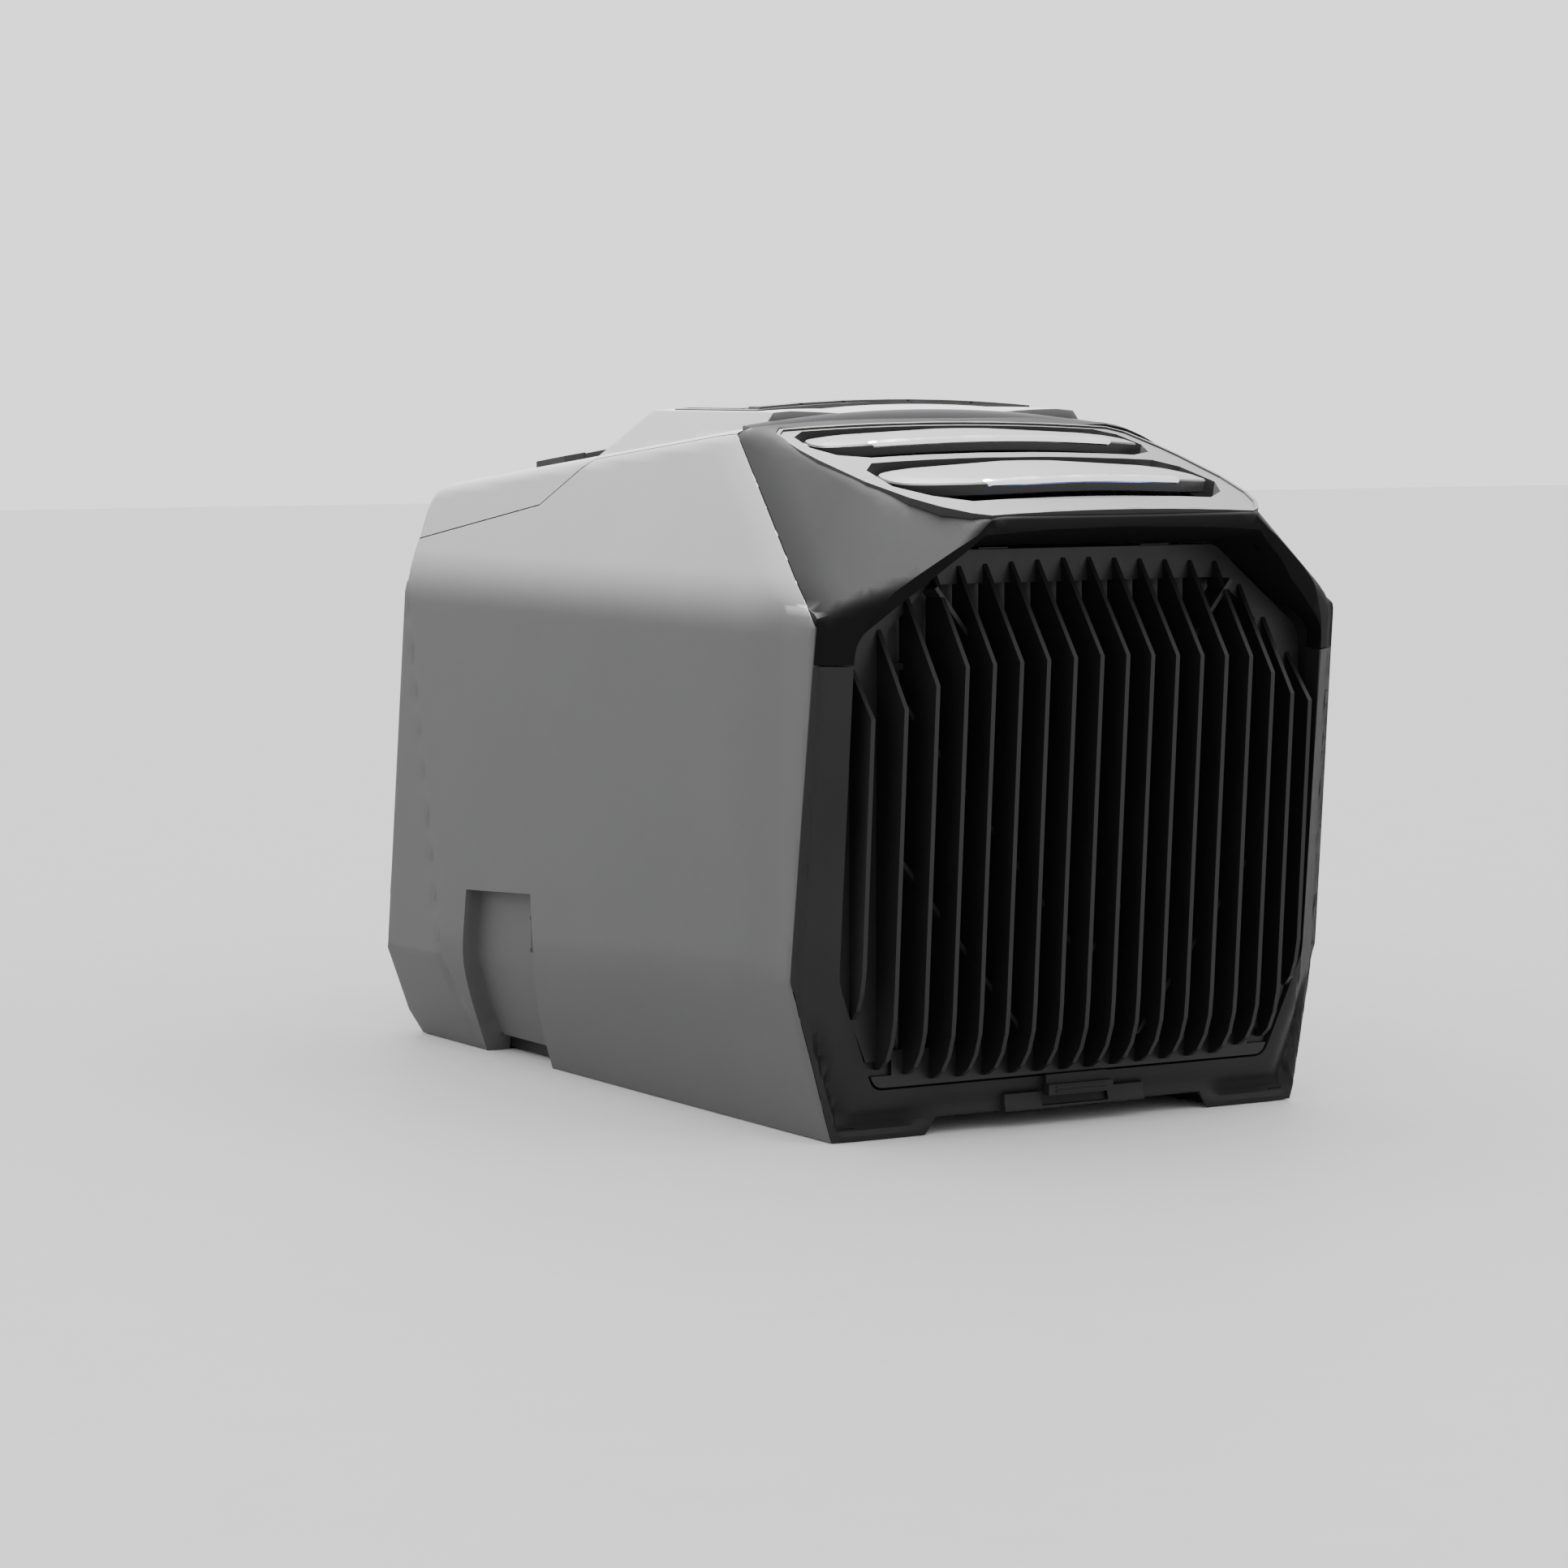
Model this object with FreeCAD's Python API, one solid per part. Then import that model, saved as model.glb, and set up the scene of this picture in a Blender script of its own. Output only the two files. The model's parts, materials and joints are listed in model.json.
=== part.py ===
"""Portable battery air conditioner: front intake grille, two top louvres, rear duct ports.

Millimetres. +Z is up, the front with the intake grille faces -Y, the duct ports face +Y.
The origin is at the middle of the underside, centred on the whole width and length.
"""
import FreeCAD, Part
import math
import os
from FreeCAD import Placement, Rotation, Vector

os.makedirs("parts", exist_ok=True)

# ---- driving dimensions -------------------------------------------------------------------
LENGTH = 518.0
HEIGHT = 336.0
FRONT = -LENGTH / 2
REAR = LENGTH / 2
WALL = 2.6
SEAM = 0.6
FIT = 0.4
PIN_FIT = 0.05

# Side facets: (point on the facet, outward normal) for the +X side.
MID_TILT = 0.0205
FACETS = (
    ((144.4, 0, 243), (1, 0, MID_TILT)),
    ((145.0, 0, 243), (79.3, 0, 37.4)),
    ((133.5, 0, 0), (1, -0.0175, -0.2468)),
    ((129.4, 0, 0), (1, 0.0019, -0.4167)),
    ((107.6, -88.2, 322.3), (0.10, 0.1085, 1)),
    ((107.6, -88.2, 322.3), (0.730, -0.193, 0.656)),
    ((97.0, -212, 294), (0.6195, -0.4487, 0.6445)),
    ((144.3, -222.1, 218.9), (0.586, -0.807, -0.068)),
)
# Side view of the casing (y, z), from the front foot round over the top.
PROFILE = (
    (-213, 0), (-216.2, 14), (-232.1, 218.8), (-235.1, 233.2), (-258.4, 277.3), (FRONT, 285),
    (-88, 328.5), (195.5, 297.7), (201, 281), (196.5, 262), (192, 244), (208.2, 50), (213, 12),
    (206, 0),
)
# The casing with its rear end carried on backwards, which leaves the side panels open there.
OPEN_PROFILE = PROFILE[:7] + ((250, 291.8), (250, 0))
# The same behind the outlet deck only, for spaces sunk deeper than the front lip is tall.
REAR_PROFILE = ((-150, 0), (-150, 312.8)) + PROFILE[6:]
# Line between the side panels and the dark front (y, z), and the top cover's joint line.
FRONT_SEAM = (
    (-212.5, 0), (-210.5, 34), (-206.9, 75), (-215.6, 160), (-221.6, 219), (-223.4, 236),
    (-216.3, 243), (-195.2, 256), (-147.6, 285.5), (-88.2, 321.8),
)
COVER_SEAM = ((-88.2, 321.8), (-49, 317.3), (31, 308.2), (38, 307.5), (75, 282.9), (196.5, 261.8))
HOOD_SPLIT_Z = 218.8
HOOD_REAR_Y = -89.8

# Intake opening: half outline (x, z) at the front lip and at the grille ring.
LIP_Y = -262.0
RING_Y = -212.0
LIP_OUTLINE = ((0, 280.3), (40, 279.5), (76, 277.4), (129.8, 233), (133.2, 83), (113.3, 21.5))
RING_OUTLINE = ((0, 269.9), (40, 269.8), (79, 269.5), (129.2, 228), (129.2, 72), (109.4, 23.6))
OPENING_CORNERS = (0, 0, 9, 14, 20, 7)
SCREW_HOLE = (85.1, -241.0, 267.9)
SCREW_HOLE_AXIS = (0.641, 0.095, 0.762)

# Intake grille.
GRILLE_FACE_Y = -217.0
GRILLE_BACK_Y = -213.0
FIN_PITCH = 14.29
FIN_THICK = 2.2
WINDOW_X = 102.4
WINDOW_Z = (41.4, 253.2)
GRILLE_HINGE = (0, -214.6, 266.0)

# Deck (the sloping outlet panel) frame: x across, s up the slope, n out of the surface.
DECK_ORIGIN = (0, FRONT, 285.8)
DECK_ANGLE = math.degrees(math.atan(0.254))
DECK_CROWN_R = 1400.0
DECK_OUTLINE = (
    (72, 2.5), (79, 7.9), (87.4, 20.8), (94.1, 38), (100.1, 66.4), (102.6, 105.5), (102.5, 122),
    (99.8, 150), (93, 158),
)
# Louvre: plan half outline (x, s), rest tilt in degrees, pivot (s, n), crown radius, slot (s, s).
UPPER = {
    "outline": ((0, 110.5), (40, 111.6), (68.4, 115.5), (85, 122), (91.4, 127.5), (88, 146),
                (80, 151), (0, 152)),
    "tilt": 8.9, "pivot": (147.0, -8.5), "crown": 850.0, "trim": 68.4,
    "slot": ((74, 104.5), (88, 112.5), (94, 127.5), (92, 146), (83, 154.2)),
    "rear": 152.0, "vanes": 112.0,
}
LOWER = {
    "outline": ((0, 31.2), (30, 32.2), (54.3, 36.4), (75, 48.8), (87, 61.2), (84.5, 84),
                (76, 92), (0, 94)),
    "tilt": 7.9, "pivot": (88.0, -8.5), "crown": 700.0, "trim": 54.3,
    "slot": ((66, 28.0), (80, 40), (90, 59), (88, 86), (79, 96.4)),
    "rear": 94.0, "vanes": 53.0,
}
LOUVRE_THICK = 3.0
LOUVRE_PIN_R = 2.0

# Control platform on the roof.
PLATFORM_X = 82.0
PLATFORM_TOP = 334.4
PLATFORM_CROWN_R = 912.0
KEY_JOINTS = (-78.6, -54.7, -30.8, 6.3, 43.0, 78.6)
KEY_Y = (-61.5, -49.5)
DISPLAY_Y = (-46.6, 12.6)

# Rear roof vent.
VENT_OUTLINE = ((58, 60), (84, 92), (94, 140), (100, 158), (100, 172), (88, 184), (56, 190))
VENT_DEPTH = 7.0
RIB_PITCH = 12.4
RIB_RISE = 4.5

# Rear duct housing and its two round ports.
DUCT_X = 55.0
DUCT_Z = 147.0
DUCT_R = 44.0
HOUSING_X = 114.0
HOUSING_Z = (94.0, 199.0)

# Side recess outline (y, z) and its depth.
RECESS = ((131, -4), (121, 50.6), (116.8, 86), (46.4, 90.4), (42.6, 59), (59, -4))
RECESS_DEPTH = 9.0

# Inner edge of the side panels' bottom flange; the base pan lies between the two flanges.
FLANGE_X = 116.4
SKIN_X = 104.0


BOARD_X = 96.0
PIPE_BEND = 11.0


# ---- geometry helpers ---------------------------------------------------------------------
def inset(points, amount):
    """Move every edge of a closed polygon inwards by amount (outwards when negative)."""
    count = len(points)
    area = sum(points[i - 1][0] * points[i][1] - points[i][0] * points[i - 1][1] for i in range(count))
    sign = 1 if area > 0 else -1
    lines = []
    for i in range(count):
        (ax, ay), (bx, by) = points[i - 1], points[i]
        size = math.hypot(bx - ax, by - ay)
        nx, ny = -sign * (by - ay) / size, sign * (bx - ax) / size
        lines.append((nx, ny, nx * ax + ny * ay + amount))
    moved = []
    for i in range(count):
        a, b, c = lines[i]
        d, e, f = lines[(i + 1) % count]
        det = a * e - b * d
        moved.append(((c * e - b * f) / det, (a * f - c * d) / det))
    return moved


def polygon(vectors):
    return Part.Face(Part.makePolygon(list(vectors) + [vectors[0]]))


def prism_x(points, x0, x1):
    return polygon([Vector(x0, y, z) for y, z in points]).extrude(Vector(x1 - x0, 0, 0))


def prism_y(points, y0, y1):
    return polygon([Vector(x, y0, z) for x, z in points]).extrude(Vector(0, y1 - y0, 0))


def prism_z(points, z0, z1):
    return polygon([Vector(x, y, z0) for x, y in points]).extrude(Vector(0, 0, z1 - z0))


def box(x0, x1, y0, y1, z0, z1):
    return Part.makeBox(x1 - x0, y1 - y0, z1 - z0, Vector(x0, y0, z0))


def cylinder(radius, start, axis, length):
    return Part.makeCylinder(radius, length, Vector(*start), Vector(*axis))


def tube(outer, inner, start, axis, length):
    return cylinder(outer, start, axis, length).cut(cylinder(inner, start, axis, length))


def both(points):
    """Close a half outline over the middle plane."""
    return list(points) + [(-x, z) for x, z in reversed(points) if x > 0]


def mirror(shape):
    return shape.mirror(Vector(0, 0, 0), Vector(1, 0, 0))


def clean(shape):
    """Merge faces that share a surface, where the kernel can."""
    try:
        return shape.removeSplitter()
    except Part.OCCError:
        return shape


def fuse(shapes):
    shapes = list(shapes)
    return clean(shapes[0].multiFuse(shapes[1:]))


def group(shapes):
    return Part.makeCompound(list(shapes))


def trim(shape, point, normal):
    """Keep what lies behind the plane."""
    size = 900.0
    block = Part.makeBox(2 * size, 2 * size, size, Vector(-size, -size, -size))
    block.Placement = Placement(point, Rotation(Vector(0, 0, 1), normal))
    return shape.common(block)


def soften(shape, radius, axis=(0, 0, 1)):
    """Round the straight edges that run along an axis."""
    edges = []
    for edge in shape.Edges:
        direction = edge.tangentAt(edge.FirstParameter)
        if isinstance(edge.Curve, Part.Line) and abs(direction.dot(Vector(*axis))) > 0.999:
            edges.append(edge)
    return shape.makeFillet(radius, edges)


def save(name, shape):
    shape.exportStep("parts/%s.step" % name)


# ---- casing -------------------------------------------------------------------------------
def casing_solid(depth, profile=PROFILE):
    """The whole outer form, every face moved inwards by depth."""
    solid = prism_x(inset(profile, depth), -160, 160)
    for side in (1, -1):
        for (px, py, pz), (nx, ny, nz) in FACETS:
            normal = Vector(side * nx, ny, nz).normalize()
            solid = trim(solid, Vector(side * px, py, pz) - normal * depth, normal)
    return solid


OUTER = casing_solid(0)
INNER = casing_solid(WALL)
SHELL = OUTER.cut(INNER)


def rounded(outline, radii, steps=4):
    """Half outline, from the middle round to the foot, with an arc in place of each corner."""
    points = []
    ring = list(outline) + [(-outline[-1][0], outline[-1][1])]
    for i, radius in enumerate(radii):
        if radius == 0:
            points.append(outline[i])
            continue
        (ax, az), (bx, bz), (cx, cz) = ring[i - 1], ring[i], ring[i + 1]
        before, after = math.atan2(bz - az, bx - ax), math.atan2(cz - bz, cx - bx)
        turn = math.remainder(after - before, 2 * math.pi)
        reach = radius * math.tan(abs(turn) / 2)
        side = math.copysign(1.0, turn)
        mx = bx - reach * math.cos(before) - side * radius * math.sin(before)
        mz = bz - reach * math.sin(before) + side * radius * math.cos(before)
        for k in range(steps + 1):
            angle = before + turn * k / steps
            points.append((mx + side * radius * math.sin(angle), mz - side * radius * math.cos(angle)))
    return points


def throat(grow):
    """Tapered intake opening, from the front lip back to the grille ring."""
    wires = []
    for y, outline in ((LIP_Y, LIP_OUTLINE), (RING_Y, RING_OUTLINE)):
        points = inset(both(rounded(outline, OPENING_CORNERS)), -grow)
        wires.append(Part.makePolygon([Vector(x, y, z) for x, z in points + points[:1]]))
    return Part.makeLoft(wires, True, True)


THROAT = throat(0)
THROAT_OUT = throat(WALL)


def panel_region():
    points = list(FRONT_SEAM) + list(COVER_SEAM[1:])
    points += [(192, 244), (208.2, 50), (213, 12), (206, 0)]
    return prism_x(inset(points, SEAM / 2), SKIN_X, 170)


def recess_tub():
    outline = prism_x(RECESS, 60, 170)
    wider = prism_x(inset(RECESS, -WALL), 60, 170)
    floor = casing_solid(RECESS_DEPTH, REAR_PROFILE)
    deep = casing_solid(RECESS_DEPTH + WALL, REAR_PROFILE)
    tub = OUTER.common(wider).cut(deep).cut(outline.cut(floor))
    return tub, wider


def side_panel():
    tub, wider = recess_tub()
    panel = OUTER.cut(casing_solid(WALL, OPEN_PROFILE)).common(panel_region()).cut(wider).fuse(tub)
    floor_cut = box(60, FLANGE_X, -400, 400, -5, 14)
    boss_y = (-150, -60, 20, 160)
    bosses = [cylinder(4, (136, y, z), (1, 0, 0), 12).common(OUTER) for y in boss_y for z in (120, 200)]
    panel = panel.cut(floor_cut).fuse(fuse([b.common(casing_solid(0.5)) for b in bosses]))
    return clean(panel)


def recess_catch():
    """Dark hook on the front edge of the side recess that a battery pack's arm clips over."""
    body = prism_x([(43.2, 61), (45.3, 79), (49.6, 79), (49.6, 61)], 139.5, 146)
    return body.cut(box(142, 150, 48.4, 52, 63, 77))


def front_region(z0, z1):
    points = [(-300, -5)] + [(y, z) for y, z in FRONT_SEAM] + [(-88.2, 345), (-300, 345)]
    front = prism_x(inset(points, SEAM / 2), -170, 170)
    return front.common(box(-170, 170, -300, 0, z0, z1))


def deck_place(shape):
    placed = shape.copy()
    placed.Placement = Placement(Vector(*DECK_ORIGIN), Rotation(Vector(1, 0, 0), DECK_ANGLE)).multiply(
        placed.Placement)
    return placed


def crowned(radius, n0, n1, s0, s1, half):
    """Plate crowned across x, between heights n0 and n1 over the middle, running along s."""
    drop = half * half / (2 * radius)
    edges = []
    for n in (n0, n1):
        ends = (Vector(-half, s0, n - drop), Vector(half, s0, n - drop))
        edges.append(Part.Arc(ends[0], Vector(0, s0, n), ends[1]).toShape())
    sides = [Part.makeLine(edges[0].Vertexes[i].Point, edges[1].Vertexes[i].Point) for i in (0, 1)]
    wire = Part.Wire(Part.__sortEdges__(edges + sides))
    return Part.Face(wire).extrude(Vector(0, s1 - s0, 0))


def front_hood():
    region = front_region(HOOD_SPLIT_Z, 345)
    skin = OUTER.common(region).cut(INNER.cut(THROAT_OUT))
    hood = skin.cut(THROAT).cut(box(-170, 170, RING_Y, 100, 200, 345).common(INNER))
    hood = hood.cut(box(-170, 170, HOOD_REAR_Y, 100, 200, 345))
    opening = deck_place(prism_z(inset(both(DECK_OUTLINE), -SEAM / 2), -40, 12))
    hood = hood.cut(opening.cut(THROAT_OUT))
    x, y, z = SCREW_HOLE
    ax, ay, az = SCREW_HOLE_AXIS
    for side in (-1, 1):
        start = (side * (x - ax), y - ay, z - az)
        hood = hood.cut(cylinder(2.2, start, (side * ax, ay, az), 5))
    return clean(hood)


def front_frame():
    region = front_region(-1, HOOD_SPLIT_Z - SEAM)
    frame = OUTER.common(region).cut(INNER.cut(THROAT_OUT)).cut(THROAT)
    under = prism_y(((-80.2, -1), (-74, 8.6), (74, 8.6), (80.2, -1)), -300, -100)
    frame = frame.cut(under)
    cover = box(-39, 39, -219.4, -214.2, 8.6, 16.4)
    slot = box(-18.6, 18.6, -230, -216.6, 9.8, 30)
    return clean(frame.fuse(cover).cut(slot))


def rear_top_cover():
    points = list(COVER_SEAM) + [(215, 261.8), (215, 345), (-88.2, 345)]
    region = prism_x(inset(points, SEAM / 2), -170, 170)
    cover = SHELL.common(region)
    rise = platform_solid(0).cut(INNER).cut(platform_solid(WALL))
    cover = cover.fuse(rise).cut(platform_solid(WALL))
    tub = vent_tray(WALL, VENT_DEPTH + WALL).common(OUTER)
    cover = cover.fuse(tub).cut(vent_tray(0, VENT_DEPTH))
    cover = cover.cut(control_pocket())
    return clean(cover.cut(box(-170, 170, -110, -88, 300, 345)))


def platform_solid(depth):
    """Raised plateau for the controls: crowned top, steep flanks, long rear ramp."""
    side_view = ((-87.4, 290), (-87.4, 331.2), (-66, PLATFORM_TOP), (26, PLATFORM_TOP), (74, 290))
    solid = prism_x(inset(side_view, depth), -120, 120)
    solid = solid.common(crowned(PLATFORM_CROWN_R, 280, PLATFORM_TOP - depth, -100, 100, 118))
    for side in (1, -1):
        normal = Vector(side * 0.8, 0, 0.6)
        solid = trim(solid, Vector(side * (PLATFORM_X + 3), 0, 331.5) - normal * depth, normal)
    return solid


def control_pocket():
    return box(-PLATFORM_X, PLATFORM_X, KEY_Y[0] - 3.2, DISPLAY_Y[1] + 3.4, 320, 345)


def vent_tray(grow, depth):
    """Space over the roof inside the rear vent's outline, down to a depth below the roof."""
    right = list(VENT_OUTLINE)
    outline = right + [(-x, y) for x, y in reversed(right)]
    return prism_z(inset(outline, -grow), 275, 400).cut(casing_solid(depth, REAR_PROFILE))


def rear_vent_ribs():
    """Longitudinal ribs standing in the rear vent, their rear ends stepped across the roof."""
    ribs = []
    floor = casing_solid(VENT_DEPTH, REAR_PROFILE)
    top = casing_solid(-RIB_RISE, REAR_PROFILE)
    for i in range(-7, 8):
        x = i * RIB_PITCH
        y0 = 66 + 0.8 * max(0.0, abs(x) - 40)
        y1 = 186 - 0.55 * max(0.0, abs(x) - 20)
        ribs.append(box(x - 2.2, x + 2.2, y0, y1, 280, 340).common(top).cut(floor))
    low_top = casing_solid(3.4)
    ribs += [box(-86, 86, y, y + 3, 280, 330).common(low_top).cut(floor) for y in (112, 146)]
    outline = vent_tray(-0.5, VENT_DEPTH)
    return fuse(rib.common(outline) for rib in ribs)


# ---- outlet deck --------------------------------------------------------------------------
def slot_outline(data, grow):
    return inset(both(data["slot"]), -grow)


def deck_bowl(data, depth, grow):
    return prism_z(slot_outline(data, grow), -depth, 9)


def outlet_panel():
    plate = crowned(DECK_CROWN_R, -WALL, 0, 0, 176, 112).common(prism_z(both(DECK_OUTLINE), -30, 9))
    rim_outer = prism_z(inset(both(DECK_OUTLINE), 0), -30, 9)
    rim_inner = prism_z(inset(both(DECK_OUTLINE), 1.8), -30, 9)
    rim = crowned(DECK_CROWN_R, -7, 1.0, 0, 176, 112).common(rim_outer.cut(rim_inner))
    parts = [plate, rim]
    for data in (UPPER, LOWER):
        s0, s1 = data["slot"][0][1] - 1.8, data["slot"][-1][1] + 1.8
        wall = crowned(DECK_CROWN_R, -10.5, 0, s0, s1, 104)
        ring = prism_z(slot_outline(data, 1.8), -30, 9).cut(prism_z(slot_outline(data, 0), -30, 9))
        parts.append(wall.common(ring))
    deck = parts[0].multiFuse(parts[1:])
    for data in (UPPER, LOWER):
        deck = deck.cut(prism_z(slot_outline(data, 0), -40, 12))
        for side in (1, -1):
            deck = deck.cut(louvre_pin(data, side, PIN_FIT))
    return clean(deck_place(deck).cut(throat(WALL + 0.15)))


def louvre_pin(data, side, clearance):
    s, n = data["pivot"]
    return cylinder(LOUVRE_PIN_R + clearance, (side * 76, s, n), (side, 0, 0), 22)


def tilted(shape, data):
    """Tip a louvre built flat on the deck up at the front, about its rear edge."""
    moved = shape.copy()
    moved.rotate(Vector(0, data["rear"], -1.0), Vector(1, 0, 0), -data["tilt"])
    return moved


def louvre_blade(data):
    outline = both(data["outline"])
    half = max(x for x, s in data["outline"]) + 2
    s0, s1 = data["outline"][0][1] - 1, data["rear"] + 1
    plate = crowned(data["crown"], -LOUVRE_THICK, 0, s0, s1, half)
    lip = crowned(data["crown"], -5.6, 0, s0, s1, half)
    front = prism_z(outline, -30, 9).cut(prism_z([(x, s + 3.2) for x, s in outline], -30, 9))
    blade = plate.common(prism_z(outline, -30, 9)).fuse(lip.common(front))
    groove = trim_band(data, 0.15)
    return tilted(blade.cut(groove), data)


def trim_band(data, grow):
    """Bright strip let into the top front edge of a louvre."""
    outline = both(data["outline"])
    half = data["trim"]
    s0 = data["outline"][0][1]
    band = crowned(data["crown"], -2.0 - grow, 0, s0 - 1, s0 + 12, half)
    front = prism_z(outline, -30, 9).cut(prism_z([(x, s + 1.6 + grow) for x, s in outline], -30, 9))
    return band.common(front)


def louvre(data):
    """Blade with two pivot lugs under its rear edge, bored for the pins."""
    s, n = data["pivot"]
    lugs = []
    for side in (1, -1):
        low = box(min(side * 77, side * 81), max(side * 77, side * 81), s - 4.5, s + 3.5, n - 4.5, -2.0)
        lugs.append(low)
    blade = louvre_blade(data)
    solid = blade.multiFuse(lugs)
    for side in (1, -1):
        solid = solid.cut(louvre_pin(data, side, PIN_FIT))
    return deck_place(clean(solid))


def louvre_trim(data):
    return deck_place(tilted(trim_band(data, 0), data))


def louvre_pins():
    return group(deck_place(louvre_pin(data, side, 0)) for data in (UPPER, LOWER) for side in (1, -1))


def guide_vanes(data):
    """Upright guide vanes standing in the throat under a louvre, joined by two rails."""
    s0 = data["vanes"]
    s1 = data["slot"][-1][1] - 6
    vanes = [box(x - 0.8, x + 0.8, s0, s1, -32, -14) for x in range(-70, 71, 14)]
    rails = [box(-74, 74, s, s + 2, -28, -24) for s in (s0 + 3, s1 - 5)]
    return deck_place(fuse(vanes + rails))


def led_strip():
    s = LOWER["slot"][0][1]
    return deck_place(box(-58, 58, s + 0.1, s + 1.5, -5.6, -3.6))


# ---- intake grille ------------------------------------------------------------------------
def fin_edge(x):
    """Tip z, kink (y, z) and foot z of the fin at distance x from the middle."""
    far = min(1.0, x / 78.6)
    if x < 85:
        return 264.5 - 3.7 * far, (-250 + 3 * far, 220.7 - 3.2 * far), 25.7 + 1.3 * far, 60.0
    if x < 100:
        return 249.5, (-244.9, 209.2), 30.0, 62.0
    if x < 113:
        return 233.6, (-241.0, 198.8), 33.0, 70.0
    return 216.6, (-235.7, 194.6), 56.9, 92.0


def grille_fin(x):
    tip, (kink_y, kink_z), foot, bend = fin_edge(abs(x))
    lean = 0.0625 * (kink_z - bend)
    bend_y = kink_y + lean
    reach = bend_y - GRILLE_FACE_Y
    points = [(GRILLE_BACK_Y, tip), (GRILLE_FACE_Y, tip), (kink_y, kink_z), (bend_y, bend)]
    for turn in (20, 40, 60, 80):
        angle = math.radians(turn)
        points.append((GRILLE_FACE_Y + reach * math.cos(angle), bend - (bend - foot) * math.sin(angle)))
    points += [(GRILLE_FACE_Y, foot), (GRILLE_BACK_Y, foot)]
    return prism_x(points, x - FIN_THICK / 2, x + FIN_THICK / 2)


def chevron(z0):
    """V-shaped rib behind the fins, rising 1.25 per unit of width on each side."""
    rise = 1.25
    reach = WINDOW_X + 2
    width = 3.2
    top = z0 + rise * reach
    points = [(0, z0), (reach, top), (reach, top + width), (0, z0 + width)]
    rib = prism_y(points, -226, GRILLE_BACK_Y)
    window = prism_y(window_outline(0.5), -230, -210)
    return [rib.common(window), mirror(rib).common(window)]


def window_outline(grow):
    low, high = WINDOW_Z
    x = WINDOW_X
    half = [(x - 22, high), (x, high - 20), (x, low)]
    return inset(both(half), -grow)


def intake_grille():
    outline = both(rounded(RING_OUTLINE, OPENING_CORNERS))
    ring = prism_y(inset(outline, 0.9), GRILLE_FACE_Y, GRILLE_BACK_Y)
    ring = ring.cut(prism_y(window_outline(0), -230, -200))
    for x in (-107, 107):
        ring = ring.cut(box(x - 7, x + 7, -230, GRILLE_BACK_Y - 1.5, 30, 37))
    offsets = [FIN_PITCH * (i + 0.5) for i in range(9)]
    fins = [grille_fin(side * x) for x in offsets for side in (1, -1)]
    ribs = [piece for z0 in (2, 75, 148) for piece in chevron(z0)]
    bar = [box(-WINDOW_X - 1, WINDOW_X + 1, GRILLE_FACE_Y, GRILLE_BACK_Y, 215, 218)]
    tabs = [box(x - 8, x + 8, -216, -213, 262, 269.5) for x in (-45, 45)]
    _, y, z = GRILLE_HINGE
    knuckles = [cylinder(2.4, (x - 8, y, z), (1, 0, 0), 16) for x in (-45, 45)]
    return fuse([ring] + fins + ribs + bar + tabs + knuckles)


def grille_latch():
    """Spring catch in the sill under the grille, with a ridged finger tab."""
    tab = box(-18, 18, -223.8, -219.8, 15, 20)
    stem = box(-17, 17, -219.9, -217.6, 15, 24.2)
    ridges = [box(-14, 14, -224.4, -223.6, z, z + 0.9) for z in (16.2, 18.2)]
    return fuse([tab, stem] + ridges)


def filter_frame():
    outer = prism_y(inset(window_outline(0), -5.5), -212.6, -206.5)
    frame = outer.cut(prism_y(inset(window_outline(0), -0.5), -220, -200))
    bars = [box(-WINDOW_X - 2, WINDOW_X + 2, -208.2, -206.5, z - 1, z + 1) for z in (94, 147, 200)]
    bars += [box(x - 1, x + 1, -208.2, -206.5, 40, 254) for x in (-51, 0, 51)]
    window = prism_y(window_outline(3), -220, -200)
    return fuse([frame] + [bar.common(window) for bar in bars])


def filter_mesh():
    return prism_y(window_outline(0.3), -209.4, -208.8)


# ---- roof and controls --------------------------------------------------------------------
def control_band():
    """Glossy arched band that closes the step between the outlet deck and the roof."""
    return crowned(725.0, 323.0, 331.6, -89.5, -88.2, 103.4)


def control_base():
    """Dark bezel that carries the display and has a well for each key."""
    x = PLATFORM_X - 0.4
    y0, y1 = KEY_Y[0] - 2.8, DISPLAY_Y[1] + 3
    base = crowned(PLATFORM_CROWN_R, 329.0, HEIGHT - 1.2, y0, y1, x)
    y0, y1 = DISPLAY_Y
    base = base.cut(crowned(PLATFORM_CROWN_R, 333.0, 345, y0, y1, x - 3))
    for left, right in key_spans():
        well = box(left - FIT, right + FIT, KEY_Y[0] - FIT, KEY_Y[1] + FIT, 300, 345)
        base = base.cut(well.common(crowned(PLATFORM_CROWN_R, 330.6, 345, -90, 0, x)))
    return base


def key_spans():
    """Left and right end of each key, from the joints between keys."""
    return [(a + 0.6, b - 0.6) for a, b in zip(KEY_JOINTS[:-1], KEY_JOINTS[1:])]


def key_cap(left, right):
    cap = soften(box(left, right, KEY_Y[0], KEY_Y[1], 300, 345), 1.2)
    return cap.common(crowned(PLATFORM_CROWN_R, 332.0, HEIGHT, -90, 0, PLATFORM_X))


def display_lens():
    x = PLATFORM_X - 3.8
    y0, y1 = DISPLAY_Y
    lens = soften(box(-x, x, y0 + 0.4, y1 - 0.4, 300, 345), 4.0)
    return lens.common(crowned(PLATFORM_CROWN_R, 333.1, HEIGHT - 0.8, y0, y1, x))


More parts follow.
